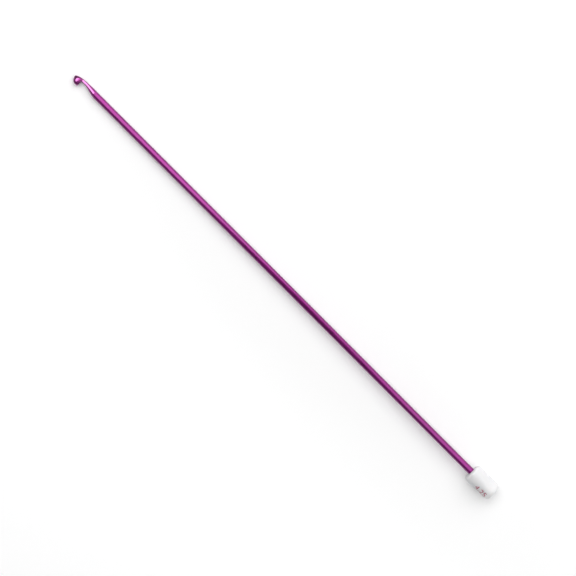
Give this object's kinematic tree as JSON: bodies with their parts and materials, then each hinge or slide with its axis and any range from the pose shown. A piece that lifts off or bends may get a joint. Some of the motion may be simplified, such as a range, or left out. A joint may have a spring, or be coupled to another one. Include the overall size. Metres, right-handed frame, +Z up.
{
  "type": "crochet hook",
  "caption": "Long straight crochet hook: a slim magenta anodised metal rod with a formed hook at one end and a white plastic stopper cap pressed on the other.",
  "frame": {"origin": "under the middle of the whole hook, on the flat surface that the cap rests on", "axes": "+X along the rod from the hook to the stopper cap, +Z up, and the hook's throat opens towards -Y"},
  "size_m": [0.356, 0.0118, 0.0118],
  "materials": {
    "anodised_rod": "magenta-purple anodised, satin with faint lengthwise draw lines",
    "cap_plastic": "white moulded plastic, soft gloss"
  },
  "bodies": {
    "root": {"hook_rod": "anodised_rod", "stopper_cap": "cap_plastic"}
  },
  "joints": []
}
